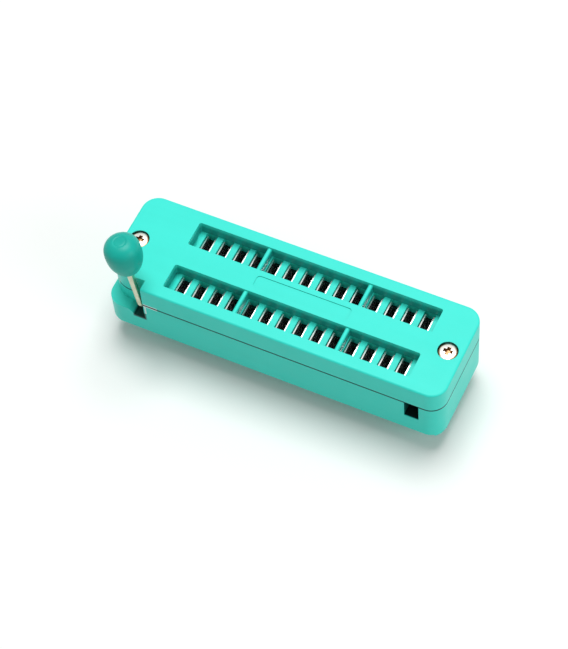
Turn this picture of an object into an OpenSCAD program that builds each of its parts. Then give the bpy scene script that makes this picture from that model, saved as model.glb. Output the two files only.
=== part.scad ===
// Zero insertion force socket for a dual in-line chip.
// A cam lever slides a slotted plate, and the plate presses one leaf of every contact on its lead.
// The origin is the middle of the contact grid on the board, +X runs away from the lever.

/* [Contact grid] */
// Contacts in each row
row_count = 14; // [10:1:18]
// Distance between neighbouring contacts
pitch = 2.54; // [2.4:0.01:3.2]
// Distance between the two rows
row_spacing = 7.62; // [7.62:0.01:20]
// Contacts between each end of a window and its nearest rib
end_group = 4; // [2:1:4]

/* [Contacts] */
// Thickness of the spring strip
strip_t = 0.2; // [0.15:0.01:0.25]
// Width of a contact along its slot
contact_w = 3.4; // [2:0.1:3.6]
// Distance between the middles of a contact's two leaves
leaf_gap = 1.24; // [1:0.01:1.4]
// How far the leaf tips stay below the top of the slider
leaf_drop = 0.25; // [0.1:0.05:0.6]
// Inner radius of the bends of the strip
bend_r = 0.15; // [0.05:0.05:0.3]
// Width of a solder tail
tail_w = 0.5; // [0.3:0.05:0.7]
// How far a tail stands below the board face
tail_length = 3.2; // [2:0.1:5]

/* [Body] */
// Height of the corner feet
foot_h = 0.5; // [0.2:0.1:1]
// Height of the base above its feet
base_h = 6.65; // [6:0.05:9]
// Height of the cover
cover_h = 3.75; // [3.4:0.05:5]
// Wall at each side of the slider
side_wall = 1.34; // [1:0.02:2]
// Radius of the upright corners
corner_r = 2.4; // [1.8:0.1:3]
// Rounding of the cover's top edge
top_edge_r = 0.3; // [0.1:0.05:0.6]
// Chamfer on the edges at the parting line
parting_chamfer = 0.08; // [0.02:0.01:0.15]
// Width of the chamfer round the bottom of the base
bottom_chamfer = 0.3; // [0.1:0.05:0.5]
// Floor of the base under the contacts
floor_t = 1.4; // [1:0.1:2]
// Length of a foot along the socket at the lever end
lever_foot_l = 1.9; // [1.5:0.1:3]
// Length of a foot along the socket at the far end
far_foot_l = 1.2; // [1:0.1:3]
// Length of every foot across the socket
foot_w = 3.4; // [2.6:0.1:4]

/* [Windows] */
// Width of a window across the socket
window_w = 3.95; // [3.7:0.05:4.6]
// From the last contact of a row to the end of its window
window_end = 1.83; // [1.6:0.01:2.2]
// Radius of a window's corners
window_r = 0.3; // [0.1:0.05:0.6]
// Thickness of the ribs that cross a window
rib_t = 0.6; // [0.4:0.05:0.8]
// How far the top of a rib lies below the cover's face
rib_drop = 0.25; // [0.1:0.05:0.6]
// Length of the label recess
label_l = 14.2; // [8:0.1:20]
// Width of the label recess
label_w = 2; // [1:0.1:2.4]
// Depth of the label recess
label_depth = 0.12; // [0.05:0.01:0.3]

/* [Slider] */
// Thickness of the slider
slider_t = 1.65; // [1.3:0.05:2]
// Gap between the slider and what guides it
slider_clear = 0.05; // [0.03:0.01:0.1]
// Bar between neighbouring slots
bar_t = 0.9; // [0.8:0.02:1.1]
// Gap between a moving leaf and the bar that pushes it
bar_gap = 0.03; // [0.02:0.01:0.06]
// How far a slot runs on under the cover past each side of its window
slot_over = 0.125; // [0.1:0.025:0.3]
// Rail outside the slots
rail_w = 0.3; // [0.2:0.05:0.8]
// Width of the tongue over the crank
tongue_w = 3.2; // [2.6:0.1:4]
// Thickness of the two lugs beside the crank pin
lug_t = 0.5; // [0.4:0.05:0.6]

/* [Lever] */
// Diameter of the lever wire
wire_d = 1; // [0.8:0.05:1.2]
// From the first contact to the lever's shaft
shaft_x_offset = 5.21; // [4.9:0.01:7]
// Depth of the shaft below the parting line
shaft_drop = 1.7; // [1.5:0.05:2.1]
// Travel of the slider
travel = 0.9; // [0.7:0.05:1]
// Lean of the open lever away from upright
open_lean = 7; // [0:0.5:12]
// Radius of the bend between arm and shaft
wire_bend_r = 0.85; // [0.7:0.05:1]
// From the side face of the body to the middle of the arm
arm_inset = 0.82; // [0.7:0.02:1]
// Running gap round the shaft
shaft_clear = 0.05; // [0.02:0.01:0.1]
// Width of the crank pin between its two slanting webs
pin_l = 3.6; // [3.2:0.1:4.4]
// From the shaft to the underside of the knob
knob_start = 6.9; // [6:0.1:12]
// Length of the knob
knob_l = 8.6; // [6:0.1:12]
// Greatest diameter of the knob
knob_d = 5.6; // [4:0.1:8]
// Diameter of the knob at its underside
knob_neck_d = 3.5; // [2.4:0.1:5]
// Diameter of the flat on the knob's top
knob_flat_d = 1.8; // [1:0.1:3]
// Height of the knob's widest part, as a share of its length
knob_widest = 0.58; // [0.4:0.02:0.7]
// Depth of the wire's end in the knob
knob_bore = 6.5; // [4:0.1:7]

/* [Lever notch] */
// Depth of the notch in the side of the body
notch_depth = 1.65; // [1.4:0.05:1.8]
// From the shaft to the inner end of the notch
notch_side = 0.77; // [0.7:0.01:1]
// Radius of the cover's corner behind the notch
notch_corner_r = 3.5; // [2:0.1:4]
// Height of the ledge under the lever above the channel floor
ledge_step = 0.95; // [0.6:0.05:1.2]
// Width of the channel that the shaft leaves through
channel_w = 1.86; // [1.6:0.02:2.2]
// Depth of the channel below the parting line
channel_depth = 3.3; // [2.8:0.05:3.6]

/* [Ends] */
// From the shaft to the screw at the lever end
lever_screw_offset = 3.2; // [3.1:0.05:4]
// From the last contact to the screw at the far end
far_screw_offset = 4.91; // [4.8:0.01:7]
// From each screw to the end face
end_margin = 2.23; // [2:0.01:3]
// From the last contact to the middle of the far channel
far_channel_offset = 2.85; // [2.7:0.05:3]
// Width of the far channel
far_channel_w = 2.12; // [1.6:0.02:2.2]
// Depth of the far channel from the side face
far_channel_in = 3; // [2:0.1:4]

/* [Screws] */
// Diameter of the screw shank
screw_d = 2; // [1.6:0.1:2.2]
// How much deeper the pilot hole is than the screw
pilot_over = 0.3; // [0.2:0.1:0.6]
// Diameter of the screw head
screw_head_d = 2.6; // [2.4:0.1:3]
// Height of the screw head
screw_head_h = 0.9; // [0.7:0.1:1.2]
// Gap round the head in its counterbore
head_clear = 0.14; // [0.05:0.01:0.2]
// How far the head lies below the cover's face
head_drop = 0.15; // [0.05:0.05:0.4]
// Length of the screw under its head
screw_l = 6.5; // [5:0.5:8]
// Side of the drive recess across its flats
recess_w = 1.3; // [1:0.1:1.6]
// Thickness of a wing of the drive recess
recess_t = 0.34; // [0.2:0.02:0.5]
// Depth of the drive recess
recess_depth = 0.55; // [0.3:0.05:0.6]

/* [Hidden] */
$fn = 48;
eps = 0.01;
strip_gap = 0.05;
fork_clear = 0.05;
keeper_gap = 0.1;
pocket_end = 0.18;
crank_run = 0.3;
crank_below = 0.3;
crank_beside = 0.1;
lug_in = 0.3;
slider_lap = 0.3;
slider_lap_far = 0.2;
shaft_end_gap = 0.2;
end_clear = 2 * slider_clear;
round_steps = 6;

// Heights, from the board up
parting_z = foot_h + base_h;
top_z = parting_z + cover_h;
floor_z = foot_h + floor_t;
slider_z = parting_z + slider_clear;
slider_top_z = slider_z + slider_t;
pocket_z = slider_top_z + slider_clear;
leaf_top_z = slider_top_z - leaf_drop;
shaft_z = parting_z - shaft_drop;
channel_z = parting_z - channel_depth;
ledge_z = channel_z + ledge_step;
head_z = top_z - head_drop - screw_head_h;

// Places along the socket
last_x = (row_count - 1) * pitch / 2;
window_l = 2 * (last_x + window_end);
shaft_x = -last_x - shaft_x_offset;
lever_screw_x = shaft_x - lever_screw_offset;
far_screw_x = last_x + far_screw_offset;
lever_end_x = lever_screw_x - end_margin;
far_end_x = far_screw_x + end_margin;
body_l = far_end_x - lever_end_x;
body_x = (far_end_x + lever_end_x) / 2;
far_channel_x = last_x + far_channel_offset;
channel_x = shaft_x - notch_side - eps + channel_w / 2;
screw_xs = [lever_screw_x, far_screw_x];
rib_x = last_x - (end_group - 0.5) * pitch;

// Places across the socket
row_ys = [-row_spacing / 2, row_spacing / 2];
slot_l = window_w + 2 * slot_over;
slider_w = row_spacing + slot_l + 2 * rail_w;
pocket_w = slider_w + 2 * slider_clear;
body_w = pocket_w + 2 * side_wall;
arm_y = -body_w / 2 + arm_inset;
notch_y = -body_w / 2 + notch_depth;
shaft_end_y = body_w / 2 - side_wall;

// Contact and slot, measured from the contact's middle
leaf_out = leaf_gap / 2 + strip_t / 2;
slot_right = leaf_out + bar_gap;
slot_left = pitch - bar_t - slot_right;
pocket_l = 2 * (leaf_out + pocket_end);
tail_tip = 0.6;

// Crank: the pin swings the same angle to each side of upright
swing = 90 - open_lean;
crank_e = travel / 2 / sin(swing / 2);
pin_angle = swing / 2;
web_l = crank_e + crank_run;
crank_half = pin_l / 2 + web_l;
crank_trim = wire_bend_r * tan(atan(crank_e / web_l) / 2);
chamber_half = crank_half + crank_trim + crank_beside;
fork_half = wire_d / 2 + fork_clear;
pin_x = shaft_x + travel / 2;
pin_half = pin_l / 2 - lug_in;
chamber_left = pin_x - travel - fork_half - lug_t - end_clear;
chamber_right = pin_x + fork_half + lug_t + end_clear;
chamber_z = shaft_z - wire_d / 2 - crank_below;
bearing_r = wire_d / 2 + shaft_clear;
slider_left = -window_l / 2 - slider_lap;
slider_right = window_l / 2 + travel + slider_lap_far;
tongue_left = pin_x - fork_half - lug_t;

function pad2(i) = str(i < 10 ? "0" : "", i);
function contact_name(i) = str("contact_", pad2(i + 1));
contact_count = 2 * row_count;
contact_ids = [0 : contact_count - 1];

// Contacts are numbered down the front row from the lever and back along the rear row
function contact_x(i) = i < row_count
    ? -last_x + i * pitch
    : last_x - (i - row_count) * pitch;
function contact_y(i) = i < row_count ? row_ys[0] : row_ys[1];

plastic = [0.06, 0.66, 0.6];
plastic_dark = [0.05, 0.55, 0.5];
spring_metal = [0.8, 0.8, 0.76];
wire_metal = [0.72, 0.72, 0.66];
screw_metal = [0.9, 0.89, 0.85];

// Points of an arc
function arc(cx, cy, r, a0, a1, n = 8) =
    [for (k = [0 : n]) let (a = a0 + (a1 - a0) * k / n) [cx + r * cos(a), cy + r * sin(a)]];

// Half of a wall's section, as [distance in from the face, height], with a bottom chamfer
// and a rounded top, or a chamfered top where round_r is 0
function edge_section(h, low, high, round_r) = concat(
    [[low, 0], [0, low]],
    round_r > 0
        ? [for (k = [0 : round_steps]) let (a = 90 * k / round_steps)
            [round_r - round_r * cos(a), h - round_r + round_r * sin(a)]]
        : [[0, h - high], [high, h]]
);

// A block with round upright corners whose section has the edges above
module moulded_block(l, w, h, low, high, round_r = 0) {
    section = edge_section(h, low, high, round_r);
    flat_l = l - 2 * corner_r;
    flat_w = w - 2 * corner_r;
    corner = [for (p = section) [corner_r - p[0], p[1]]];
    for (sx = [-1, 1]) {
        for (sy = [-1, 1]) {
            translate([sx * flat_l / 2, sy * flat_w / 2, 0])
                rotate_extrude()
                    polygon(concat([[0, 0]], corner, [[0, h]]));
        }
    }
    span(flat_l, w, section);
    rotate([0, 0, 90]) span(flat_w, l, section);
}

// A straight length of that section, l long in X and w wide in Y
module span(l, w, section) {
    right = [for (p = section) [w / 2 - p[0], p[1]]];
    left = [for (k = [len(section) - 1 : -1 : 0]) [-w / 2 + section[k][0], section[k][1]]];
    translate([-l / 2, 0, 0])
        rotate([90, 0, 90])
            linear_extrude(l)
                polygon(concat(right, left));
}

module rounded_rect(l, w, r) {
    for (sx = [-1, 1]) {
        for (sy = [-1, 1]) {
            translate([sx * (l / 2 - r), sy * (w / 2 - r)]) circle(r);
        }
    }
    square([l - 2 * r, w], center = true);
    square([l, w - 2 * r], center = true);
}

// A block from one corner to the opposite one
module block(low, high) {
    translate(low) cube(high - low);
}

// The notch's outline from above: the lever's corner, less the round corner behind it
module notch_outline() {
    corner_x = lever_end_x + notch_corner_r;
    corner_y = notch_y + notch_corner_r;
    inner_x = shaft_x + notch_side;
    outer = 1;
    difference() {
        translate([lever_end_x - outer, -body_w / 2 - outer])
            square([inner_x - lever_end_x + outer, corner_y + body_w / 2 + outer]);
        translate([corner_x, corner_y]) circle(notch_corner_r);
        translate([corner_x, notch_y]) square([inner_x - corner_x + eps, corner_y - notch_y + eps]);
    }
}

// The space that the slider moves in, under the cover's face
module slider_pocket() {
    block([slider_left - travel - end_clear, -pocket_w / 2, parting_z - eps],
          [slider_right + end_clear, pocket_w / 2, pocket_z]);
    block([tongue_left - travel - end_clear, -tongue_w / 2 - slider_clear, parting_z - eps],
          [0, tongue_w / 2 + slider_clear, pocket_z]);
}

module window(y) {
    translate([0, y, parting_z]) linear_extrude(cover_h + eps) rounded_rect(window_l, window_w, window_r);
}

// A rib across both windows, with a round back
module window_rib(x) {
    rib_top = top_z - rib_drop;
    span_y = row_spacing + window_w + 2 * eps;
    block([x - rib_t / 2, -span_y / 2, pocket_z], [x + rib_t / 2, span_y / 2, rib_top - rib_t / 2]);
    translate([x, span_y / 2, rib_top - rib_t / 2]) rotate([90, 0, 0]) cylinder(d = rib_t, h = span_y);
}

// Keeper that closes a bearing slot from above
module bearing_keeper(y0, y1) {
    block([shaft_x - wire_d / 2, y0, shaft_z + bearing_r], [shaft_x + wire_d / 2, y1, parting_z + eps]);
}

module cover() {
    color(plastic) {
        difference() {
            translate([body_x, 0, parting_z])
                moulded_block(body_l, body_w, cover_h, parting_chamfer, 0, top_edge_r);
            slider_pocket();
            for (y = row_ys) window(y);
            translate([0, 0, parting_z - 1]) linear_extrude(cover_h + 2) notch_outline();
            translate([0, 0, top_z - label_depth])
                linear_extrude(1)
                    rounded_rect(label_l, label_w, label_w / 4);
            for (x = screw_xs) {
                translate([x, 0, parting_z - 1]) cylinder(d = screw_d + 2 * head_clear, h = cover_h + 2);
                translate([x, 0, head_z]) cylinder(d = screw_head_d + 2 * head_clear, h = cover_h);
            }
        }
        for (x = [-rib_x, rib_x]) window_rib(x);
        bearing_keeper(notch_y + keeper_gap, -chamber_half - keeper_gap);
        bearing_keeper(chamber_half + keeper_gap, shaft_end_y - keeper_gap);
    }
}

// Pocket for one contact, with the slot for its tail
module contact_pocket() {
    half_w = contact_w / 2 + strip_gap;
    block([-pocket_l / 2, -half_w, floor_z], [pocket_l / 2, half_w, parting_z + eps]);
    block([-strip_t / 2 - strip_gap, -tail_w / 2 - strip_gap, 0],
          [strip_t / 2 + strip_gap, tail_w / 2 + strip_gap, floor_z + eps]);
}

// Slot with a round bottom that holds the shaft, open at the parting line
module bearing_slot(y0, y1) {
    block([shaft_x - bearing_r, y0, shaft_z], [shaft_x + bearing_r, y1, parting_z + eps]);
    translate([shaft_x, y1, shaft_z]) rotate([90, 0, 0]) cylinder(r = bearing_r, h = y1 - y0);
}

// What the lever's corner of the base leaves free: ledge, ramp and channel
module lever_cutout() {
    left = lever_end_x - 1;
    ledge_x = channel_x - channel_w / 2 - (ledge_z - channel_z);
    channel_left = channel_x - channel_w / 2;
    channel_right = channel_x + channel_w / 2;
    profile = [
        [left, ledge_z], [ledge_x, ledge_z], [channel_left, channel_z],
        [channel_right, channel_z], [channel_right, parting_z + 1], [left, parting_z + 1]
    ];
    intersection() {
        translate([0, 0, -1]) linear_extrude(top_z) notch_outline();
        translate([0, body_w, 0]) rotate([90, 0, 0]) linear_extrude(2 * body_w) polygon(profile);
    }
}

module base() {
    color(plastic_dark) {
        difference() {
            translate([body_x, 0, foot_h])
                moulded_block(body_l, body_w, base_h, bottom_chamfer, parting_chamfer);
            for (i = contact_ids) translate([contact_x(i), contact_y(i), 0]) contact_pocket();
            for (x = screw_xs) {
                translate([x, 0, head_z - screw_l - pilot_over]) cylinder(d = screw_d, h = top_z);
            }
            block([chamber_left, -chamber_half, chamber_z], [chamber_right, chamber_half, parting_z + eps]);
            bearing_slot(notch_y - eps, -chamber_half + eps);
            bearing_slot(chamber_half - eps, shaft_end_y);
            lever_cutout();
            block([far_channel_x - far_channel_w / 2, -body_w, channel_z],
                  [far_channel_x + far_channel_w / 2, -body_w / 2 + far_channel_in, parting_z + eps]);
        }
        feet();
    }
}

// Feet under the four corners
module feet() {
    intersection() {
        translate([body_x, 0, 0])
            linear_extrude(foot_h + bottom_chamfer)
                rounded_rect(body_l - 2 * bottom_chamfer, body_w - 2 * bottom_chamfer,
                             corner_r - bottom_chamfer);
        for (sy = [-1, 1]) {
            for (end = [[lever_end_x, lever_foot_l], [far_end_x, -far_foot_l]]) {
                block([min(end[0], end[0] + end[1]), min(sy * body_w / 2, sy * (body_w / 2 - foot_w)), 0],
                      [max(end[0], end[0] + end[1]), max(sy * body_w / 2, sy * (body_w / 2 - foot_w)),
                       foot_h + eps]);
            }
        }
    }
}

module slider() {
    color(plastic) {
        difference() {
            union() {
                block([slider_left, -slider_w / 2, slider_z], [slider_right, slider_w / 2, slider_top_z]);
                block([tongue_left, -tongue_w / 2, slider_z],
                      [slider_left + eps, tongue_w / 2, slider_top_z]);
            }
            for (i = contact_ids) {
                translate([contact_x(i), contact_y(i), 0])
                    block([-slot_left, -slot_l / 2, slider_z - 1], [slot_right, slot_l / 2, top_z]);
            }
        }
        for (x = [tongue_left, pin_x + fork_half]) {
            block([x, -pin_half, shaft_z], [x + lug_t, pin_half, slider_z + eps]);
        }
    }
}

// Direction of a path's stretch k, in degrees, and how far the path turns at its corner k
function heading(p, k) = atan2(p[k + 1][1] - p[k][1], p[k + 1][0] - p[k][0]);
function turn_at(p, k) = k < 1 || k > len(p) - 2 ? 0 : heading(p, k) - heading(p, k - 1);
// What the bend at corner k takes from the stretches on both sides
function bend_trim(p, k) = wire_bend_r * tan(abs(turn_at(p, k)) / 2);
function toward(angle) = [cos(angle), sin(angle)];

// Straight stretch k of a wire along a path of [y, z] points
module straight_wire(p, k) {
    start = p[k] + toward(heading(p, k)) * bend_trim(p, k);
    length = norm(p[k + 1] - p[k]) - bend_trim(p, k) - bend_trim(p, k + 1);
    translate([0, start[0], start[1]])
        rotate([heading(p, k) - 90, 0, 0])
            cylinder(d = wire_d, h = length);
}

// Bend at corner k of the path, a hair thinner than the wire and run on into both stretches
module wire_bend(p, k) {
    turn = turn_at(p, k);
    side = sign(turn) * 90;
    run_on = 1.5;
    start = p[k] - toward(heading(p, k - 1)) * bend_trim(p, k);
    centre = start + toward(heading(p, k - 1) + side) * wire_bend_r;
    first = heading(p, k - 1) - side + min(0, turn) - run_on;
    translate([0, centre[0], centre[1]])
        rotate([90, 0, 90])
            rotate([0, 0, first])
                rotate_extrude(angle = abs(turn) + 2 * run_on)
                    translate([wire_bend_r, 0]) circle(d = wire_d - 2 * eps);
}

// Shaft with its crank, with the pin straight above the shaft
module crankshaft() {
    path = [
        [arm_y + wire_bend_r, 0], [-crank_half, 0], [-pin_l / 2, crank_e],
        [pin_l / 2, crank_e], [crank_half, 0], [shaft_end_y - shaft_end_gap, 0]
    ];
    for (k = [0 : len(path) - 2]) straight_wire(path, k);
    for (k = [1 : len(path) - 2]) wire_bend(path, k);
}

// Arm with the bend at its foot, straight up from the shaft
module arm() {
    path = [[0, 0], [arm_y, 0], [arm_y, knob_start + knob_bore]];
    wire_bend(path, 1);
    straight_wire(path, 1);
}

module lever_wire() {
    color(wire_metal)
        translate([shaft_x, 0, shaft_z]) {
            rotate([0, pin_angle, 0]) crankshaft();
            rotate([0, -open_lean, 0]) arm();
        }
}

// Half outline of the knob: a taper from the neck and a dome with a small flat on top
module knob_outline() {
    r = knob_d / 2;
    neck = knob_neck_d / 2;
    flat_r = knob_flat_d / 2;
    wide_z = knob_l * knob_widest;
    dome_h = knob_l - wide_z;
    end_a = acos(flat_r / r);
    lip = 0.2;
    dome = [for (k = [0 : 12]) let (a = end_a * k / 12) [r * cos(a), wide_z + dome_h * sin(a) / sin(end_a)]];
    polygon(concat([[0, 0], [neck - lip, 0], [neck, lip]], dome, [[0, knob_l]]));
}

module lever_knob() {
    color(plastic)
        translate([shaft_x, arm_y, shaft_z])
            rotate([0, -open_lean, 0])
                translate([0, 0, knob_start])
                    difference() {
                        rotate_extrude() knob_outline();
                        translate([0, 0, -1]) cylinder(d = wire_d + 2 * eps, h = knob_bore + 1 + eps);
                    }
}

// Pan head screw with a cross recess, from above
module screw(x) {
    head_r = screw_head_d / 2;
    rim_z = screw_head_h * 0.6;
    shoulder = [head_r * 0.94, screw_head_h * 0.8];
    crown = [head_r * 0.78, screw_head_h];
    color(screw_metal)
        translate([x, 0, head_z])
            difference() {
                union() {
                    rotate_extrude()
                        polygon([
                            [0, 0], [head_r, 0], [head_r, rim_z], shoulder, crown, [0, screw_head_h]
                        ]);
                    translate([0, 0, -screw_l]) cylinder(d = screw_d - 2 * eps, h = screw_l);
                }
                for (a = [0, 90]) {
                    rotate([0, 0, a])
                        block([-recess_w / 2, -recess_t / 2, screw_head_h - recess_depth],
                              [recess_w / 2, recess_t / 2, screw_head_h + 1]);
                }
            }
}

// Outline of a strip of even thickness along a bent path
function unit(v) = v / norm(v);
function path_normal(p, k) = let (
    before = unit(p[max(k, 1)] - p[max(k, 1) - 1]),
    after = unit(p[min(k + 1, len(p) - 1)] - p[min(k, len(p) - 2)]),
    along = unit(before + after)
) [-along[1], along[0]] / max(0.5, along * after);
function strip_outline(p, t) = concat(
    [for (k = [0 : len(p) - 1]) p[k] + path_normal(p, k) * t / 2],
    [for (k = [len(p) - 1 : -1 : 0]) p[k] - path_normal(p, k) * t / 2]
);

// U-shaped contact: fixed leaf towards the lever, moving leaf away from it, tail through the floor
module contact(i) {
    r = bend_r + strip_t / 2;
    x = leaf_gap / 2;
    web_z = floor_z + strip_t / 2;
    flare = 0.05;
    flare_h = 0.6;
    path = concat(
        [[-x - flare, leaf_top_z], [-x, leaf_top_z - flare_h]],
        arc(-x + r, web_z + r, r, 180, 270, 4),
        arc(x - r, web_z + r, r, 270, 360, 4),
        [[x, leaf_top_z]]
    );
    tail = [
        [-tail_w / 2, floor_z + strip_t / 2], [-tail_w / 2, tail_tip - tail_length],
        [-tail_w / 4, -tail_length], [tail_w / 4, -tail_length],
        [tail_w / 2, tail_tip - tail_length], [tail_w / 2, floor_z + strip_t / 2]
    ];
    color(spring_metal)
        translate([contact_x(i), contact_y(i), 0]) {
            translate([0, contact_w / 2, 0])
                rotate([90, 0, 0])
                    linear_extrude(contact_w)
                        polygon(strip_outline(path, strip_t));
            translate([-strip_t / 2, 0, 0])
                rotate([90, 0, 90])
                    linear_extrude(strip_t)
                        polygon(tail);
        }
}

base();
cover();
slider();
lever_wire();
lever_knob();
screw(lever_screw_x);  // screw_lever_end
screw(far_screw_x);  // screw_far_end
for (i = contact_ids) {
    contact(i);
}
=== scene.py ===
import math

import bmesh
import bpy
from mathutils import Matrix, Vector


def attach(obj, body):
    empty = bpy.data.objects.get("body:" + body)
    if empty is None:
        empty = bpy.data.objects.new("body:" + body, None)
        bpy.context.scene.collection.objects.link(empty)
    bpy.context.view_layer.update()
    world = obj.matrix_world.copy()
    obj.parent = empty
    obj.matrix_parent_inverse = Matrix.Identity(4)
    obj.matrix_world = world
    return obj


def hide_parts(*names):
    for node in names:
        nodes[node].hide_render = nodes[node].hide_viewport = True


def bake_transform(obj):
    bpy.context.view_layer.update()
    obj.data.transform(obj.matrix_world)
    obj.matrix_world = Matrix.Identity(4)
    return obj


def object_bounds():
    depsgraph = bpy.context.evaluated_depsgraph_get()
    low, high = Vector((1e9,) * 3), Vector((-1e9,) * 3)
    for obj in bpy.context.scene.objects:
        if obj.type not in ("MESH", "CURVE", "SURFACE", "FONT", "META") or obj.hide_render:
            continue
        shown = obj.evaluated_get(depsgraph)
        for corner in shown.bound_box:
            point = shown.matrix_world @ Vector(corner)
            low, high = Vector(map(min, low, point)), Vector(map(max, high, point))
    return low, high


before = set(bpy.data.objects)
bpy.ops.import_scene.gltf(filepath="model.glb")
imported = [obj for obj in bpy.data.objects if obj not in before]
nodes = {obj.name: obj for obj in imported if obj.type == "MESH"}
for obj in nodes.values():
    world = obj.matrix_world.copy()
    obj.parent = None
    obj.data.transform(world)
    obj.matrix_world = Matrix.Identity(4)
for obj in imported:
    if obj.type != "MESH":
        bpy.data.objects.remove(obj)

cadLow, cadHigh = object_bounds()
mm = 0.001
shaft = Vector((-21.72, 0, 5.45)) * mm
bpy.context.scene.view_settings.view_transform = "Standard"


def meshObject(name, bm, smoothAngle=30):
    mesh = bpy.data.meshes.new(name)
    bm.to_mesh(mesh)
    bm.free()
    piece = bpy.data.objects.new(name, mesh)
    bpy.context.scene.collection.objects.link(piece)
    mesh.shade_smooth()
    if smoothAngle:
        mesh.set_sharp_from_angle(angle=math.radians(smoothAngle))
    return piece


def applyModifiers(piece):
    bpy.context.view_layer.update()
    graph = bpy.context.evaluated_depsgraph_get()
    mesh = bpy.data.meshes.new_from_object(piece.evaluated_get(graph))
    piece.modifiers.clear()
    piece.data = mesh
    return piece


def setMaterial(piece, material):
    piece.data.materials.clear()
    piece.data.materials.append(material)
    for face in piece.data.polygons:
        face.material_index = 0


def blockMesh(bm, low, high):
    made = bmesh.ops.create_cube(bm, size=1)["verts"]
    low, high = Vector(low) * mm, Vector(high) * mm
    for v in made:
        v.co = Vector([low[k] if v.co[k] < 0 else high[k] for k in range(3)])
    return made


def revolve(bm, profile, centre, steps=48):
    # profile is a list of (radius, height) in mm, from the axis round to the axis again
    rings = []
    for r, z in profile:
        if r < 1e-6:
            rings.append([bm.verts.new(Vector((0, 0, z)) * mm)])
        else:
            rings.append([bm.verts.new(Vector((r * math.cos(2 * math.pi * k / steps),
                                               r * math.sin(2 * math.pi * k / steps), z)) * mm)
                          for k in range(steps)])
    for a, b in zip(rings, rings[1:]):
        for k in range(steps):
            n = (k + 1) % steps
            loop = [a[k % len(a)], a[n % len(a)], b[n % len(b)], b[k % len(b)]]
            face = list(dict.fromkeys(loop))
            if len(face) > 2:
                bm.faces.new(face)
    bmesh.ops.recalc_face_normals(bm, faces=bm.faces)
    bmesh.ops.transform(bm, matrix=Matrix.Translation(centre), verts=bm.verts)


# Camera, world, floor and lamps
cameraValues = {
    "position": (82.33, -146.48, 263.33),  # mm
    "azimuth": 30.296,    # degrees round from looking along +Y
    "elevation": 56.988,  # degrees above the horizon
    "roll": -5.93,
    "lens": 124.14,
    "sensor": 36.0,
}
lightValues = {
    "worldLevel": 0.44,
    "keyPlace": (-0.03, 0.15, 0.68),
    "keySize": 0.44,
    "keyPower": 3.75,
    "fillPlace": (0.46, -0.08, 0.24),
    "fillSize": 0.30,
    "fillPower": 0.6,
    "floorColour": (0.93, 0.95, 0.935),  # as the camera sees it
    "floorBounce": (0.62, 0.68, 0.66),   # as it lights the object
}


def makeCamera(values):
    data = bpy.data.cameras.new("camera")
    camera = bpy.data.objects.new("camera", data)
    bpy.context.scene.collection.objects.link(camera)
    a, e = math.radians(values["azimuth"]), math.radians(values["elevation"])
    forward = Vector((-math.sin(a) * math.cos(e), math.cos(a) * math.cos(e), -math.sin(e)))
    right = forward.cross(Vector((0, 0, 1))).normalized()
    up = right.cross(forward)
    turn = Matrix((right, up, -forward)).transposed().to_4x4()
    camera.matrix_world = (Matrix.Translation(Vector(values["position"]) * mm) @ turn
                           @ Matrix.Rotation(math.radians(values["roll"]), 4, "Z"))
    data.lens = values["lens"]
    data.sensor_width = values["sensor"]
    data.clip_start, data.clip_end = 0.01, 10
    bpy.context.scene.camera = camera


def addLamp(name, place, aim, size, power):
    data = bpy.data.lights.new(name, "AREA")
    data.shape = "DISK"
    data.size = size
    data.energy = power
    lamp = bpy.data.objects.new(name, data)
    bpy.context.scene.collection.objects.link(lamp)
    lamp.location = place
    lamp.rotation_euler = (Vector(aim) - Vector(place)).to_track_quat("-Z", "Y").to_euler()


def seenDirectly(tree):
    # 1 for camera, glossy and transmission rays
    path = tree.nodes.new("ShaderNodeLightPath")
    seen = path.outputs["Is Camera Ray"]
    for ray in ("Is Glossy Ray", "Is Transmission Ray"):
        either = tree.nodes.new("ShaderNodeMath")
        either.operation = "MAXIMUM"
        tree.links.new(seen, either.inputs[0])
        tree.links.new(path.outputs[ray], either.inputs[1])
        seen = either.outputs[0]
    return seen


def makeWorld(values):
    world = bpy.data.worlds.new("studio")
    bpy.context.scene.world = world
    world.use_nodes = True
    tree = world.node_tree
    tree.nodes.clear()
    out = tree.nodes.new("ShaderNodeOutputWorld")
    background = tree.nodes.new("ShaderNodeBackground")
    seen = seenDirectly(tree)
    level = tree.nodes.new("ShaderNodeMapRange")
    level.inputs["To Min"].default_value = values["worldLevel"]
    level.inputs["To Max"].default_value = 1.0
    tree.links.new(seen, level.inputs["Value"])
    tree.links.new(level.outputs["Result"], background.inputs["Strength"])
    tree.links.new(background.outputs["Background"], out.inputs["Surface"])


def makeFloor(values):
    bm = bmesh.new()
    bmesh.ops.create_grid(bm, x_segments=1, y_segments=1, size=1.5)
    bmesh.ops.translate(bm, verts=bm.verts, vec=(0, 0, cadLow.z))
    floor = meshObject("floor", bm, 0)
    material = bpy.data.materials.new("floorPaper")
    material.use_nodes = True
    tree = material.node_tree
    shader = tree.nodes["Principled BSDF"]
    colour = tree.nodes.new("ShaderNodeMix")
    colour.data_type = "RGBA"
    colour.inputs[6].default_value = (*values["floorBounce"], 1)
    colour.inputs[7].default_value = (*values["floorColour"], 1)
    tree.links.new(seenDirectly(tree), colour.inputs[0])
    tree.links.new(colour.outputs[2], shader.inputs["Base Color"])
    shader.inputs["Roughness"].default_value = 0.9
    shader.inputs["Specular IOR Level"].default_value = 0.1
    setMaterial(floor, material)


makeCamera(cameraValues)
makeWorld(lightValues)
makeFloor(lightValues)
for lamp in ("key", "fill"):
    addLamp(lamp + "Lamp", lightValues[lamp + "Place"], (0, 0, 0),
            lightValues[lamp + "Size"], lightValues[lamp + "Power"])
print("stage: camera, floor and light")


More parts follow.
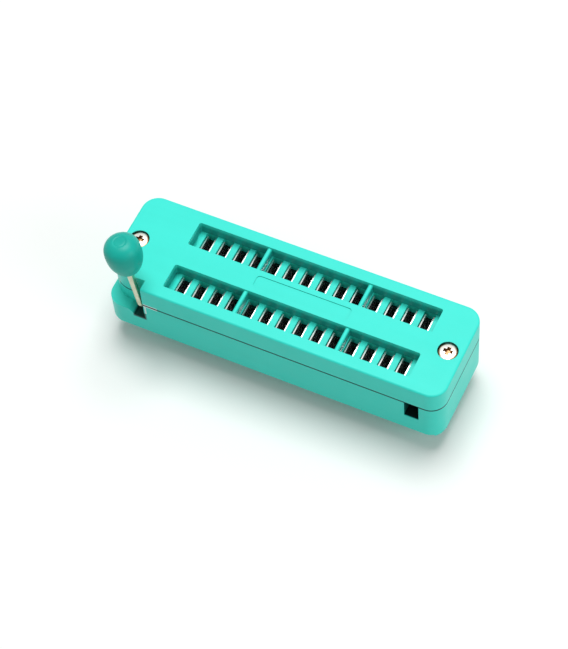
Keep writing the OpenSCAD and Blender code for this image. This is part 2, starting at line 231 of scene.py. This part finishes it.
# Shader groups
def newGroup(name, inputs, outputs):
    group = bpy.data.node_groups.new(name, "ShaderNodeTree")
    kinds = {"colour": "NodeSocketColor", "value": "NodeSocketFloat", "vector": "NodeSocketVector"}
    for label, kind, default in inputs:
        group.interface.new_socket(label, in_out="INPUT", socket_type=kinds[kind]).default_value = default
    for label, kind in outputs:
        group.interface.new_socket(label, in_out="OUTPUT", socket_type=kinds[kind])
    return group, group.nodes.new("NodeGroupInput"), group.nodes.new("NodeGroupOutput")


def nodeOf(tree, kind, settings=None, **values):
    made = tree.nodes.new(kind)
    for key, value in (settings or {}).items():
        setattr(made, key, value)
    for key, value in values.items():
        place = int(key[1:]) if key[0] == "_" else key.replace("_", " ")
        socket = made.inputs[place]
        if isinstance(value, bpy.types.NodeSocket):
            tree.links.new(value, socket)
        else:
            socket.default_value = value
    return made


def mathOf(tree, operation, a, b=0.0, clamp=False):
    return nodeOf(tree, "ShaderNodeMath", {"operation": operation, "use_clamp": clamp}, _0=a, _1=b).outputs[0]


def vectorOf(tree, operation, a, b):
    return nodeOf(tree, "ShaderNodeVectorMath", {"operation": operation}, _0=a, _1=b).outputs[0]


def mixColour(tree, factor, a, b):
    made = nodeOf(tree, "ShaderNodeMix", {"data_type": "RGBA"}, _0=factor, _6=a, _7=b)
    return made.outputs[2]


def millimetres(tree):
    place = tree.nodes.new("ShaderNodeTexCoord").outputs["Object"]
    return vectorOf(tree, "MULTIPLY", place, (1000, 1000, 1000))


def noiseOf(tree, place, scale, detail=3.0, roughness=0.5):
    return nodeOf(tree, "ShaderNodeTexNoise", None, Vector=place, Scale=scale, Detail=detail,
                  Roughness=roughness).outputs["Fac"]


def makeMouldedGrain():
    group, given, out = newGroup(
        "mouldedGrain",
        [("Colour", "colour", (1, 1, 1, 1)), ("Flow Colour", "colour", (1, 1, 1, 1)),
         ("Flow", "value", 0.5), ("Roughness", "value", 0.4), ("Grain Size", "value", 0.2)],
        [("Colour", "colour"), ("Roughness", "value"), ("Height", "value")])
    place = millimetres(group)
    cloud = noiseOf(group, place, 0.16, 3)
    flowLines = noiseOf(group, vectorOf(group, "MULTIPLY", place, (0.05, 0.7, 0.7)), 0.8, 2)
    both = mathOf(group, "MULTIPLY", mathOf(group, "ADD", cloud, flowLines), 0.5)
    factor = mathOf(group, "MULTIPLY", mathOf(group, "SUBTRACT", both, 0.3, True), given.outputs["Flow"], True)
    colour = mixColour(group, factor, given.outputs["Colour"], given.outputs["Flow Colour"])
    grain = noiseOf(group, place, mathOf(group, "DIVIDE", 1.0, given.outputs["Grain Size"]), 2, 0.6)
    wave = noiseOf(group, place, 0.5, 1)
    rough = mathOf(group, "ADD", given.outputs["Roughness"],
                   mathOf(group, "MULTIPLY", mathOf(group, "SUBTRACT", grain, 0.5), 0.16))
    rough = mathOf(group, "ADD", rough, mathOf(group, "MULTIPLY", mathOf(group, "SUBTRACT", wave, 0.5), 0.12))
    group.links.new(colour, out.inputs["Colour"])
    group.links.new(rough, out.inputs["Roughness"])
    group.links.new(mathOf(group, "ADD", grain, mathOf(group, "MULTIPLY", wave, 1.5)), out.inputs["Height"])
    return group


def makeBoxShade():
    # mixes the Dark Colour into what lies inside a box given in mm, with a soft edge; used for painted shade,
    # painted highlights and the dark seam
    group, given, out = newGroup(
        "boxShade",
        [("Colour", "colour", (1, 1, 1, 1)), ("Dark Colour", "colour", (0, 0, 0, 1)),
         ("Low", "vector", (0, 0, 0)), ("High", "vector", (1, 1, 1)),
         ("Soft", "value", 0.1), ("Amount", "value", 1.0)],
        [("Colour", "colour")])
    place = millimetres(group)
    steep = mathOf(group, "DIVIDE", 1.0, given.outputs["Soft"])
    sides = []
    for a, b in ((place, given.outputs["Low"]), (given.outputs["High"], place)):
        scaled = nodeOf(group, "ShaderNodeVectorMath", {"operation": "SCALE"},
                        _0=vectorOf(group, "SUBTRACT", a, b), _3=steep).outputs[0]
        sides.append(vectorOf(group, "MINIMUM", vectorOf(group, "MAXIMUM", scaled, (0, 0, 0)), (1, 1, 1)))
    split = nodeOf(group, "ShaderNodeSeparateXYZ", None, _0=vectorOf(group, "MULTIPLY", *sides))
    mask = mathOf(group, "MULTIPLY", split.outputs[0], split.outputs[1])
    mask = mathOf(group, "MULTIPLY", mask, split.outputs[2])
    mask = mathOf(group, "MULTIPLY", mask, given.outputs["Amount"], True)
    group.links.new(mixColour(group, mask, given.outputs["Colour"], given.outputs["Dark Colour"]),
                    out.inputs["Colour"])
    return group


def makeDrawnMetal():
    group, given, out = newGroup(
        "drawnMetal",
        [("Colour", "colour", (1, 1, 1, 1)), ("Tarnish", "colour", (1, 1, 1, 1)),
         ("Amount", "value", 0.5), ("Roughness", "value", 0.3), ("Stretch", "vector", (1, 1, 1))],
        [("Colour", "colour"), ("Roughness", "value"), ("Height", "value")])
    place = millimetres(group)
    lines = noiseOf(group, vectorOf(group, "MULTIPLY", place, given.outputs["Stretch"]), 4, 3, 0.6)
    spots = noiseOf(group, place, 1.3, 3)
    factor = mathOf(group, "MULTIPLY", mathOf(group, "SUBTRACT", spots, 0.35, True), given.outputs["Amount"], True)
    group.links.new(mixColour(group, factor, given.outputs["Colour"], given.outputs["Tarnish"]),
                    out.inputs["Colour"])
    group.links.new(mathOf(group, "ADD", given.outputs["Roughness"],
                           mathOf(group, "MULTIPLY", mathOf(group, "SUBTRACT", lines, 0.5), 0.3)),
                    out.inputs["Roughness"])
    group.links.new(lines, out.inputs["Height"])
    return group


mouldedGrain = makeMouldedGrain()
boxShade = makeBoxShade()
drawnMetal = makeDrawnMetal()


def newMaterial(name, group, bump, values, shades=()):
    material = bpy.data.materials.new(name)
    material.use_nodes = True
    tree = material.node_tree
    shader = tree.nodes["Principled BSDF"]
    finish = tree.nodes.new("ShaderNodeGroup")
    finish.node_tree = group
    for key, value in values.items():
        finish.inputs[key].default_value = value
    colour = finish.outputs["Colour"]
    for low, high, soft, dark, amount in shades:
        shade = tree.nodes.new("ShaderNodeGroup")
        shade.node_tree = boxShade
        for key, value in (("Low", low), ("High", high), ("Soft", soft), ("Dark Colour", dark),
                           ("Amount", amount)):
            shade.inputs[key].default_value = value
        tree.links.new(colour, shade.inputs["Colour"])
        colour = shade.outputs["Colour"]
    tree.links.new(colour, shader.inputs["Base Color"])
    tree.links.new(finish.outputs["Roughness"], shader.inputs["Roughness"])
    relief = tree.nodes.new("ShaderNodeBump")
    relief.inputs["Distance"].default_value = bump * mm
    tree.links.new(finish.outputs["Height"], relief.inputs["Height"])
    tree.links.new(relief.outputs["Normal"], shader.inputs["Normal"])
    return material, shader


plasticValues = {
    "teal": (0.042, 0.78, 0.66, 1),
    "tealFlow": (0.032, 0.66, 0.54, 1),
    "knobTeal": (0.003, 0.38, 0.31, 1),
    "dark": (0.004, 0.020, 0.018, 1),
    "seamDark": (0.003, 0.045, 0.040, 1),
    "wallShade": (0.006, 0.24, 0.22, 1),
    # painted highlight: pale colour for the edges by the lever's slit and hole
    "edgeHighlight": (0.80, 0.95, 0.92, 1),
    "roughness": 0.36,
    "knobRoughness": 0.38,
    "specular": 0.22,
    "grainSize": 0.16,
    "bump": 0.006,  # mm
}
metalValues = {
    "wire": (0.60, 0.60, 0.46, 1),
    "wireTarnish": (0.34, 0.33, 0.20, 1),
    "contact": (0.86, 0.86, 0.84, 1),
    "contactTarnish": (0.60, 0.58, 0.54, 1),
    "screw": (0.86, 0.84, 0.77, 1),
    # painted shade: dark brownish colour for the screws' cross recesses and the heads' sides in the bores
    "recessShade": (0.36, 0.21, 0.10, 1),
    "bump": 0.004,  # mm
}
seamBand = ((-40, -20, 7.00), (40, 20, 7.29), 0.02, plasticValues["seamDark"], 1.0)
# Painted shade: near-black colour inside the base's contact pockets under the cover
pocketShade = ((-17.7, -6.0, 1.3), (18.2, 6.0, 7.3), 0.1, plasticValues["dark"], 1.0)
# Painted shade: near-black colour inside the channel at the far end
farChannelShade = ((18.2, -7.56, 3.7), (20.5, -4.4, 7.3), 0.12, plasticValues["dark"], 1.0)
# Painted shade: dark colour inside the channel and hole at the lever's foot
leverHoleShade = ((-22.9, -7.9, 3.4), (-20.6, -5.6, 5.2), 0.25, plasticValues["dark"], 0.95)
# Painted shade on the walls of the shallow label recess
labelEdgeShade = ((-7.2, -1.06, 10.795), (7.2, 1.06, 10.893), 0.01, plasticValues["seamDark"], 0.8)
# Painted shade: the walls inside the windows are darker, fully below about 10 mm and fading out towards the
# cover's top
windowWallShade = ((-19.2, -6.6, 6.8), (19.2, 6.6, 10.5), 0.55, plasticValues["wallShade"], 0.75)
# Painted highlight: pale lines along the edges of the slit by the lever
slitEdgeHighlight = ((-21.0, -7.9, 6.84), (-18.7, -7.3, 7.48), 0.02, plasticValues["edgeHighlight"], 0.9)
slitGap = ((-21.0, -7.9, 7.00), (-18.3, -7.3, 7.31), 0.02, plasticValues["dark"], 1.0)
# Painted highlight: pale line down the edge of the lever hole
holeEdgeHighlight = ((-20.80, -7.9, 5.1), (-20.52, -7.5, 7.05), 0.03, plasticValues["edgeHighlight"], 0.85)
# Painted shade on the walls of the screws' bores in the cover
leverBoreShade = ((-26.42, -1.50, 7.2), (-23.42, 1.50, 10.83), 0.04, plasticValues["dark"], 0.9)
farBoreShade = ((19.92, -1.50, 7.2), (22.92, 1.50, 10.83), 0.04, plasticValues["dark"], 0.9)


def plastic(name, colour, roughness, shades=()):
    values = {"Colour": colour, "Flow Colour": plasticValues["tealFlow"], "Flow": 0.8,
              "Roughness": roughness, "Grain Size": plasticValues["grainSize"]}
    material, shader = newMaterial(name, mouldedGrain, plasticValues["bump"], values, shades)
    shader.inputs["Specular IOR Level"].default_value = plasticValues["specular"]
    return material


def metal(name, colour, tarnish, amount, roughness, stretch, shades=()):
    values = {"Colour": colour, "Tarnish": tarnish, "Amount": amount, "Roughness": roughness,
              "Stretch": stretch}
    material, shader = newMaterial(name, drawnMetal, metalValues["bump"], values, shades)
    shader.inputs["Metallic"].default_value = 1
    return material


coverTeal = plastic("coverTeal", plasticValues["teal"], plasticValues["roughness"],
                    [seamBand, labelEdgeShade, windowWallShade, leverBoreShade, farBoreShade, slitEdgeHighlight, slitGap])
baseTeal = plastic("baseTeal", plasticValues["teal"], plasticValues["roughness"],
                   [seamBand, pocketShade, farChannelShade, leverHoleShade, slitEdgeHighlight, slitGap, holeEdgeHighlight])
sliderTeal = plastic("sliderTeal", plasticValues["teal"], plasticValues["roughness"])
knobTeal = plastic("knobTeal", plasticValues["knobTeal"], plasticValues["knobRoughness"])
wireMetal = metal("wireMetal", metalValues["wire"], metalValues["wireTarnish"], 1.2, 0.30, (3, 3, 0.1))
contactMetal = metal("contactMetal", metalValues["contact"], metalValues["contactTarnish"], 0.8, 0.28,
                     (1, 0.1, 1))
screwMetal = metal("screwMetal", metalValues["screw"], metalValues["contactTarnish"], 0.5, 0.30, (1, 1, 1),
                   # painted shade in the cross recess and on the head's sides below its top
                   [((-40, -1.0, 9.9), (40, 1.0, 10.73), 0.04, metalValues["recessShade"], 1.0)])
print("stage: materials")


# Cover and base keep their exact meshes and get their plastics
setMaterial(nodes["cover"], coverTeal)
setMaterial(nodes["base"], baseTeal)
print("stage: mouldings")


# Edge rounding for the slider
edgeValues = {"sharp": 40, "shortest": 0.16}  # degrees, mm


def markEdges(bm, values):
    # only edges long enough to be rounded, with no short sharp edge next to them
    weight = bm.edges.layers.float.new("bevel_weight_edge")
    sharp = {e for e in bm.edges if e.calc_face_angle(0) > math.radians(values["sharp"])}
    for edge in sharp:
        around = {e for v in edge.verts for e in v.link_edges if e in sharp}
        if all(e.calc_length() > values["shortest"] * mm for e in around):
            edge[weight] = 1


def finishEdges(piece, values):
    bm = bmesh.new()
    bm.from_mesh(piece.data)
    bmesh.ops.triangulate(bm, faces=bm.faces)
    markEdges(bm, edgeValues)
    bm.to_mesh(piece.data)
    bm.free()
    bevel = piece.modifiers.new("edge", "BEVEL")
    bevel.width = values["edge"] * mm
    bevel.segments = values["steps"]
    bevel.limit_method = "WEIGHT"
    bevel.use_clamp_overlap = False
    flat = piece.modifiers.new("flat", "WEIGHTED_NORMAL")
    flat.keep_sharp = True
    applyModifiers(piece)


# Slider: a slotted plate with a tongue, and two lugs that the crank pin moves between
sliderValues = {
    "edge": 0.05,
    "steps": 2,
    "x": (-18.64, 19.44),
    "z": (7.2, 8.85),
    "halfWidth": 6.21,
    "tongueX": -22.32,
    "tongueHalf": 1.6,
    "slotX": (-0.89, 0.75),   # from a contact's middle
    "slotY": 2.1,             # half the length of a slot
    "rowY": 3.81,
    "pitch": 2.54,
    "rowCount": 14,
    "lugs": ((-22.32, -21.82), (-20.72, -20.22)),
    "lugHalf": 1.5,
    "lugFoot": 5.45,
}


def makeSlider(values):
    last = (values["rowCount"] - 1) * values["pitch"] / 2
    middles = [k * values["pitch"] - last for k in range(values["rowCount"])]
    slotXs = [(x + values["slotX"][0], x + values["slotX"][1]) for x in middles]
    slotYs = [(y - values["slotY"], y + values["slotY"]) for y in (-values["rowY"], values["rowY"])]
    xs = sorted({values["tongueX"], *values["x"], *(x for pair in slotXs for x in pair)})
    ys = sorted({s * v for s in (-1, 1) for v in (values["halfWidth"], values["tongueHalf"])}
                | {y for pair in slotYs for y in pair})

    def solid(i, j):
        if not (0 <= i < len(xs) - 1 and 0 <= j < len(ys) - 1):
            return False
        x, y = (xs[i] + xs[i + 1]) / 2, (ys[j] + ys[j + 1]) / 2
        if x < values["x"][0]:
            return abs(y) < values["tongueHalf"]
        return not (any(a < x < b for a, b in slotXs) and any(a < y < b for a, b in slotYs))

    bm = bmesh.new()
    corner = {}

    def at(i, j, level):
        if (i, j, level) not in corner:
            corner[i, j, level] = bm.verts.new(Vector((xs[i], ys[j], values["z"][level])) * mm)
        return corner[i, j, level]

    for i in range(len(xs) - 1):
        for j in range(len(ys) - 1):
            if not solid(i, j):
                continue
            around = ((i, j), (i + 1, j), (i + 1, j + 1), (i, j + 1))
            bm.faces.new([at(*c, 1) for c in around])
            bm.faces.new([at(*c, 0) for c in reversed(around)])
            for k, (di, dj) in enumerate(((0, -1), (1, 0), (0, 1), (-1, 0))):
                if not solid(i + di, j + dj):
                    a, b = around[k], around[(k + 1) % 4]
                    bm.faces.new((at(*a, 0), at(*b, 0), at(*b, 1), at(*a, 1)))
    for a, b in values["lugs"]:
        blockMesh(bm, (a, -values["lugHalf"], values["lugFoot"]), (b, values["lugHalf"], values["z"][0] + 0.1))
    bmesh.ops.recalc_face_normals(bm, faces=bm.faces)
    piece = meshObject("sliderPlate", bm, 0)
    finishEdges(piece, values)
    setMaterial(piece, sliderTeal)
    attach(piece, "slider")
    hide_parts("slider")


makeSlider(sliderValues)
print("stage: slider")


# Knob on the lever
knobValues = {
    "lean": 7.0,      # degrees past upright
    "armY": -6.78,    # mm
    "shiftX": 0.2,    # mm that the moulding sits off the wire's axis
    "profile": [(0.0, 8.95), (1.3, 8.92), (1.66, 9.00), (1.83, 9.25), (2.06, 9.70), (2.30, 10.30),
                (2.47, 10.90), (2.56, 11.50), (2.59, 12.20), (2.58, 12.90), (2.48, 13.50), (2.26, 13.95),
                (1.92, 14.30), (1.50, 14.55), (1.10, 14.67), (0.96, 14.68), (0.88, 14.62), (0.78, 14.62),
                (0.70, 14.67), (0.30, 14.68), (0.0, 14.68)],
}


def makeKnob(values):
    bm = bmesh.new()
    revolve(bm, values["profile"], (0, 0, 0), 64)
    lean = Matrix.Rotation(math.radians(-values["lean"]), 4, "Y")
    place = Matrix.Translation((shaft.x + values["shiftX"] * mm, values["armY"] * mm, shaft.z))
    bmesh.ops.transform(bm, matrix=place @ lean, verts=bm.verts)
    piece = meshObject("knob", bm, 0)
    smooth = piece.modifiers.new("smooth", "SUBSURF")
    smooth.levels = smooth.render_levels = 1
    applyModifiers(piece)
    setMaterial(piece, knobTeal)
    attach(piece, "lever")
    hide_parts("lever_knob")


makeKnob(knobValues)
print("stage: knob")


# Screws: one is modelled, and a node tree sets one at each end
screwValues = {
    "headRadius": 1.385,
    "seat": 9.85,        # height of the underside of the head
    "rim": 0.70,         # height of the head's straight side
    "crown": 0.97,       # height of the head
    "recessReach": 0.92,
    "recessWing": 0.60,
    "recessDepth": 0.55,
    "core": 0.78,
    "thread": 0.19,
    "pitch": 0.7,
    "length": 6.5,
    "places": (-24.92, 21.42),
}


def screwHead(values):
    r, rim, crown = values["headRadius"], values["rim"], values["crown"]
    dome = [(r * math.cos(a), rim + (crown - rim) * math.sin(a))
            for a in (math.radians(10 * k) for k in range(10))]
    bm = bmesh.new()
    revolve(bm, [(0, -0.1), (0.7, -0.1), (0.7, 0), (r, 0)] + dome[:-1] + [(0, crown)], (0, 0, 0), 48)
    head = meshObject("screwHead", bm)
    bm = bmesh.new()
    reach, wing, depth = values["recessReach"], values["recessWing"] / 2, values["recessDepth"]
    for size in ((reach, wing), (wing, reach)):
        for v in blockMesh(bm, (-size[0], -size[1], crown - depth), (size[0], size[1], crown + 0.5)):
            if v.co.z < (crown - 0.1) * mm:  # the wings narrow towards the bottom
                v.co.x *= 0.45 if size[0] == reach else 0.8
                v.co.y *= 0.45 if size[1] == reach else 0.8
    cross = meshObject("screwCross", bm)
    cut = head.modifiers.new("cut", "BOOLEAN")
    cut.operation, cut.solver, cut.object = "DIFFERENCE", "EXACT", cross
    cut.use_self = True
    applyModifiers(head)
    bpy.data.objects.remove(cross)
    return head


def screwShank(bm, values, rows=150, columns=24):
    # the radius follows the thread's turn, so the ridge runs up as a helix
    rings = []
    for i in range(rows + 1):
        z = -values["length"] * i / rows
        ring = []
        for k in range(columns):
            turn = (z / values["pitch"] + k / columns) % 1
            ridge = max(0, 1 - abs(turn - 0.5) * 3.2)
            end = min(1, (values["length"] + z) / 1.2)
            r = (values["core"] * (0.35 + 0.65 * end) + values["thread"] * ridge * end)
            ring.append(bm.verts.new(Vector((r * math.cos(2 * math.pi * k / columns),
                                             r * math.sin(2 * math.pi * k / columns), z)) * mm))
        rings.append(ring)
    for a, b in zip(rings, rings[1:]):
        for k in range(columns):
            bm.faces.new((a[k], a[(k + 1) % columns], b[(k + 1) % columns], b[k]))
    bm.faces.new(rings[0])
    bm.faces.new(list(reversed(rings[-1])))
    bmesh.ops.recalc_face_normals(bm, faces=bm.faces)


def makeRepeatTree():
    tree = bpy.data.node_groups.new("repeatAlongLine", "GeometryNodeTree")
    tree.interface.new_socket("Geometry", in_out="INPUT", socket_type="NodeSocketGeometry")
    tree.interface.new_socket("Geometry", in_out="OUTPUT", socket_type="NodeSocketGeometry")
    keys = {label: tree.interface.new_socket(label, in_out="INPUT", socket_type=kind).identifier
            for label, kind in (("Part", "NodeSocketObject"), ("Count", "NodeSocketInt"),
                                ("Start", "NodeSocketVector"), ("Step", "NodeSocketVector"),
                                ("Finish", "NodeSocketMaterial"))}
    given, out = tree.nodes.new("NodeGroupInput"), tree.nodes.new("NodeGroupOutput")
    line = nodeOf(tree, "GeometryNodeMeshLine", None, Count=given.outputs["Count"],
                  Start_Location=given.outputs["Start"], Offset=given.outputs["Step"])
    part = nodeOf(tree, "GeometryNodeObjectInfo", None, Object=given.outputs["Part"])
    copies = nodeOf(tree, "GeometryNodeInstanceOnPoints", None, Points=line.outputs["Mesh"],
                    Instance=part.outputs["Geometry"])
    real = nodeOf(tree, "GeometryNodeRealizeInstances", None, Geometry=copies.outputs["Instances"])
    done = nodeOf(tree, "GeometryNodeSetMaterial", None, Geometry=real.outputs["Geometry"],
                  Material=given.outputs["Finish"])
    tree.links.new(done.outputs["Geometry"], out.inputs["Geometry"])
    return tree, keys


def makeScrews(values):
    part = screwHead(values)
    bm = bmesh.new()
    bm.from_mesh(part.data)
    screwShank(bm, values)
    bm.to_mesh(part.data)
    bm.free()
    part.data.shade_smooth()
    part.data.set_sharp_from_angle(angle=math.radians(35))
    tree, keys = makeRepeatTree()
    piece = meshObject("screws", bmesh.new(), 0)
    rows = piece.modifiers.new("rows", "NODES")
    rows.node_group = tree
    first, last = values["places"]
    rows[keys["Part"]] = part
    rows[keys["Count"]] = 2
    rows[keys["Start"]] = (first * mm, 0, values["seat"] * mm)
    rows[keys["Step"]] = ((last - first) * mm, 0, 0)
    rows[keys["Finish"]] = screwMetal
    applyModifiers(piece)
    bpy.data.objects.remove(part)
    setMaterial(piece, screwMetal)
    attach(piece, "base")
    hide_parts("screw_lever_end", "screw_far_end")


makeScrews(screwValues)
print("stage: screws")


# Contacts: a bent strip with a tail
contactValues = {
    "rowCount": 14,
    "pitch": 2.54,
    "rowY": 3.81,
    "thickness": 0.2,
    "width": 3.4,
    "leafX": 0.62,     # from the contact's middle to the middle of a leaf
    "floor": 1.9,
    "top": 8.6,
    "bend": 0.25,      # radius of the strip's middle in its bends
    "stations": 26,    # up a leaf, so that it can bend
    "tailWidth": 0.5,
    "tailTip": -3.2,
    "bendFrom": 2.2,   # up a leaf
    "bendRun": (0.890, 0, 0.171),
}


def stripPath(values):
    x, r = values["leafX"], values["bend"]
    low = values["floor"] + values["thickness"] / 2
    top, count = values["top"], values["stations"]
    up = [low + r + (top - low - r) * k / count for k in range(count + 1)]
    flare = [0.05 * max(0, (z - top + 0.6) / 0.6) ** 2 for z in up]
    left = [(-x - f, z) for f, z in zip(flare, up)][::-1]
    turn = [math.radians(a) for a in (202, 225, 247)]
    leftBend = [(-x + r + r * math.cos(a), low + r + r * math.sin(a)) for a in turn]
    rightBend = [(-px, pz) for px, pz in reversed(leftBend)]
    return left + leftBend + [(-x + r, low), (0, low), (x - r, low)] + rightBend + [(x, z) for z in up]


def stripMesh(bm, path, thickness, width, centre):
    rings = []
    for k, (px, pz) in enumerate(path):
        ax, az = path[max(k - 1, 0)]
        bx, bz = path[min(k + 1, len(path) - 1)]
        run = math.hypot(bx - ax, bz - az)
        nx, nz = -(bz - az) / run * thickness / 2, (bx - ax) / run * thickness / 2
        rings.append([bm.verts.new((centre + Vector((px + s * nx, t * width / 2, pz + s * nz))) * mm)
                      for s, t in ((1, -1), (1, 1), (-1, 1), (-1, -1))])
    for a, b in zip(rings, rings[1:]):
        for k in range(4):
            bm.faces.new((a[k], a[(k + 1) % 4], b[(k + 1) % 4], b[k]))
    bm.faces.new(rings[0])
    bm.faces.new(list(reversed(rings[-1])))


def tailMesh(bm, values, centre):
    half, t = values["tailWidth"] / 2, values["thickness"] / 2
    levels = ((values["floor"], 1), (values["tailTip"] + 0.6, 1), (values["tailTip"], 0.5))
    rings = [[bm.verts.new((centre + Vector((sx * t, sy * half * share, z))) * mm)
              for sx, sy in ((1, -1), (1, 1), (-1, 1), (-1, -1))] for z, share in levels]
    for a, b in zip(rings, rings[1:]):
        for k in range(4):
            bm.faces.new((a[k], a[(k + 1) % 4], b[(k + 1) % 4], b[k]))
    bm.faces.new(rings[0])
    bm.faces.new(list(reversed(rings[-1])))


def makeContact(index, values):
    row, place = divmod(index, values["rowCount"])
    last = (values["rowCount"] - 1) * values["pitch"] / 2
    x = last - place * values["pitch"] if row else place * values["pitch"] - last
    centre = Vector((x, values["rowY"] if row else -values["rowY"], 0))
    bm = bmesh.new()
    stripMesh(bm, stripPath(values), values["thickness"], values["width"], centre)
    tailMesh(bm, values, centre)
    bmesh.ops.recalc_face_normals(bm, faces=bm.faces)
    name = "contact_%02d" % (index + 1)
    piece = meshObject("strip_%02d" % (index + 1), bm)
    setMaterial(piece, contactMetal)
    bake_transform(piece)
    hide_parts(name)


for index in range(2 * contactValues["rowCount"]):
    makeContact(index, contactValues)
print("stage: contacts")

setMaterial(nodes["lever_wire"], wireMetal)
